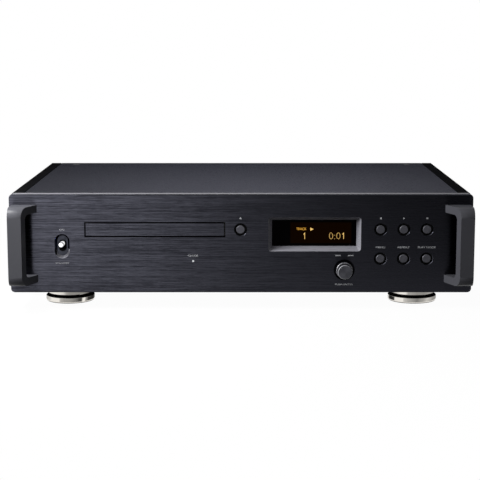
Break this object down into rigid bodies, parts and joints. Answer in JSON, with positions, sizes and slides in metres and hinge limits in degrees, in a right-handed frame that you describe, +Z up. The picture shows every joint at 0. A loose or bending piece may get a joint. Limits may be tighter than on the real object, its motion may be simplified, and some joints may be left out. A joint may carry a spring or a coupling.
{
  "type": "cd transport",
  "caption": "Full-width CD transport in black: thick front panel with end handles, disc tray, amber display, round buttons, jog knob and power lever, on dish feet.",
  "frame": {"origin": "centre of the footprint on the floor, under the feet", "axes": "+X to the right as seen from the front, +Y to the rear, +Z up"},
  "size_m": [0.444, 0.3334, 0.1122],
  "materials": {
    "panel_black": "brushed black anodised",
    "handle_black": "satin black anodised",
    "side_black": "satin black",
    "top_grey": "satin dark grey anodised",
    "steel_black": "satin black",
    "foot_metal": "polished nickel",
    "dark_steel": "blackened steel",
    "button_black": "satin black anodised",
    "plastic_black": "matte",
    "tray_plastic": "fine matte",
    "board_green": "lacquered board",
    "lever_chrome": "polished chrome",
    "window_smoke": "smoked, polished",
    "lamp_white": "clear light guide",
    "gear_white": "moulded",
    "steel": "plain steel",
    "rubber_black": "matte",
    "lens_glass": "clear",
    "coil": "wound and taped",
    "gold": "gold plated",
    "nickel": "nickel plated"
  },
  "bodies": {
    "case": {"front_panel": "panel_black", "left_handle": "handle_black", "right_handle": "handle_black", "left_side": "side_black", "right_side": "side_black", "top_plate": "top_grey", "floor_pan": "steel_black", "rear_panel": "steel_black", "case_screws": "dark_steel", "foot_collars": "foot_metal", "foot_spikes": "dark_steel", "foot_dishes": "foot_metal", "button_guides": "plastic_black", "button_switches": "plastic_black", "control_board": "board_green", "encoder_body": "plastic_black", "power_switch": "plastic_black", "display_window": "window_smoke", "display_module": "plastic_black", "clock_lamp": "lamp_white", "loader_base": "tray_plastic", "loader_posts": "steel", "clamp_bridge": "steel", "loading_motor": "steel", "drive_belt": "rubber_black", "signal_board": "board_green", "power_board": "board_green", "transformer": "coil", "mains_inlet": "plastic_black", "coaxial_socket": "gold", "optical_socket": "plastic_black", "clock_socket": "nickel"},
    "tray": {"disc_tray": "tray_plastic", "tray_door": "panel_black"},
    "loading_gear": {"loading_gear": "gear_white"},
    "belt_pulley": {"belt_pulley": "gear_white"},
    "motor_pulley": {"motor_pulley": "gold"},
    "cam_slider": {"cam_slider": "gear_white"},
    "traverse": {"traverse_plate": "steel", "traverse_grommets": "rubber_black", "spindle_motor": "steel", "guide_rods": "steel", "feed_motor": "steel"},
    "turntable": {"turntable": "plastic_black"},
    "clamp": {"clamp_puck": "plastic_black"},
    "pickup": {"pickup_sled": "plastic_black", "pickup_lens": "lens_glass"},
    "lead_screw": {"lead_screw": "steel"},
    "eject_button": {"eject_button": "button_black"},
    "stop_button": {"stop_button": "button_black"},
    "play_button": {"play_button": "button_black"},
    "pause_button": {"pause_button": "button_black"},
    "menu_button": {"menu_button": "button_black"},
    "repeat_button": {"repeat_button": "button_black"},
    "mode_button": {"mode_button": "button_black"},
    "jog_plunger": {"encoder_plunger": "steel"},
    "jog": {"jog_knob": "button_black", "jog_shaft": "steel"},
    "power_lever": {"power_lever": "lever_chrome"}
  },
  "joints": [
    {"name": "tray_slide", "type": "slide", "parent": "case", "child": "tray", "axis": [0, -1, 0], "range_m": [0, 0.1345]},
    {"name": "loading_gear_turn", "type": "hinge", "parent": "case", "child": "loading_gear", "pos_m": [-0.0587, -0.107, 0.07], "axis": [0, 0, 1], "range_deg": [-776, 5]},
    {"name": "belt_pulley_turn", "type": "hinge", "parent": "case", "child": "belt_pulley", "pos_m": [-0.0807, -0.107, 0.064], "axis": [0, 0, 1], "range_deg": [-5, 1354]},
    {"name": "motor_pulley_turn", "type": "hinge", "parent": "case", "child": "motor_pulley", "pos_m": [-0.1227, -0.107, 0.062], "axis": [0, 0, 1], "range_deg": [-5, 3745]},
    {"name": "traverse_lift", "type": "slide", "parent": "case", "child": "traverse", "axis": [0, 0, 1], "range_m": [0, 0.0097]},
    {"name": "cam_slide", "type": "slide", "parent": "case", "child": "cam_slider", "axis": [-1, 0, 0], "range_m": [0, 0.0151]},
    {"name": "disc_spin", "type": "hinge", "parent": "traverse", "child": "turntable", "pos_m": [-0.0827, -0.06675, 0.07], "axis": [0, 0, 1], "continuous": true},
    {"name": "clamp_spin", "type": "hinge", "parent": "case", "child": "clamp", "pos_m": [-0.0827, -0.06675, 0.086], "axis": [0, 0, 1], "continuous": true},
    {"name": "pickup_slide", "type": "slide", "parent": "traverse", "child": "pickup", "axis": [0, 1, 0], "range_m": [0, 0.034]},
    {"name": "lead_screw_turn", "type": "hinge", "parent": "traverse", "child": "lead_screw", "pos_m": [-0.1157, -0.02675, 0.0596], "axis": [0, 1, 0], "range_deg": [-5, 4086]},
    {"name": "eject_press", "type": "slide", "parent": "case", "child": "eject_button", "axis": [0, 1, 0], "range_m": [0, 0.0008], "stiffness_N_per_m": 400, "springref_m": -0.001},
    {"name": "stop_press", "type": "slide", "parent": "case", "child": "stop_button", "axis": [0, 1, 0], "range_m": [0, 0.0008], "stiffness_N_per_m": 400, "springref_m": -0.001},
    {"name": "play_press", "type": "slide", "parent": "case", "child": "play_button", "axis": [0, 1, 0], "range_m": [0, 0.0008], "stiffness_N_per_m": 400, "springref_m": -0.001},
    {"name": "pause_press", "type": "slide", "parent": "case", "child": "pause_button", "axis": [0, 1, 0], "range_m": [0, 0.0008], "stiffness_N_per_m": 400, "springref_m": -0.001},
    {"name": "menu_press", "type": "slide", "parent": "case", "child": "menu_button", "axis": [0, 1, 0], "range_m": [0, 0.0008], "stiffness_N_per_m": 400, "springref_m": -0.001},
    {"name": "repeat_press", "type": "slide", "parent": "case", "child": "repeat_button", "axis": [0, 1, 0], "range_m": [0, 0.0008], "stiffness_N_per_m": 400, "springref_m": -0.001},
    {"name": "mode_press", "type": "slide", "parent": "case", "child": "mode_button", "axis": [0, 1, 0], "range_m": [0, 0.0008], "stiffness_N_per_m": 400, "springref_m": -0.001},
    {"name": "jog_press", "type": "slide", "parent": "case", "child": "jog_plunger", "axis": [0, 1, 0], "range_m": [0, 0.0008], "stiffness_N_per_m": 600, "springref_m": -0.001},
    {"name": "jog_turn", "type": "hinge", "parent": "jog_plunger", "child": "jog", "pos_m": [0.0993, -0.13875, 0.0388], "axis": [0, 1, 0], "continuous": true},
    {"name": "power_toggle", "type": "hinge", "parent": "case", "child": "power_lever", "pos_m": [-0.1719, -0.11875, 0.0636], "axis": [1, 0, 0], "range_deg": [0, 12]}
  ],
  "couplings": [
    {"joint": "loading_gear_turn", "follows": "tray_slide", "rad_per_m": -100},
    {"joint": "belt_pulley_turn", "follows": "tray_slide", "rad_per_m": 175},
    {"joint": "motor_pulley_turn", "follows": "tray_slide", "rad_per_m": 485.23},
    {"joint": "cam_slide", "follows": "traverse_lift", "ratio": 1.5464},
    {"joint": "clamp_spin", "follows": "disc_spin", "ratio": 1},
    {"joint": "lead_screw_turn", "follows": "pickup_slide", "rad_per_m": 2094.4}
  ]
}
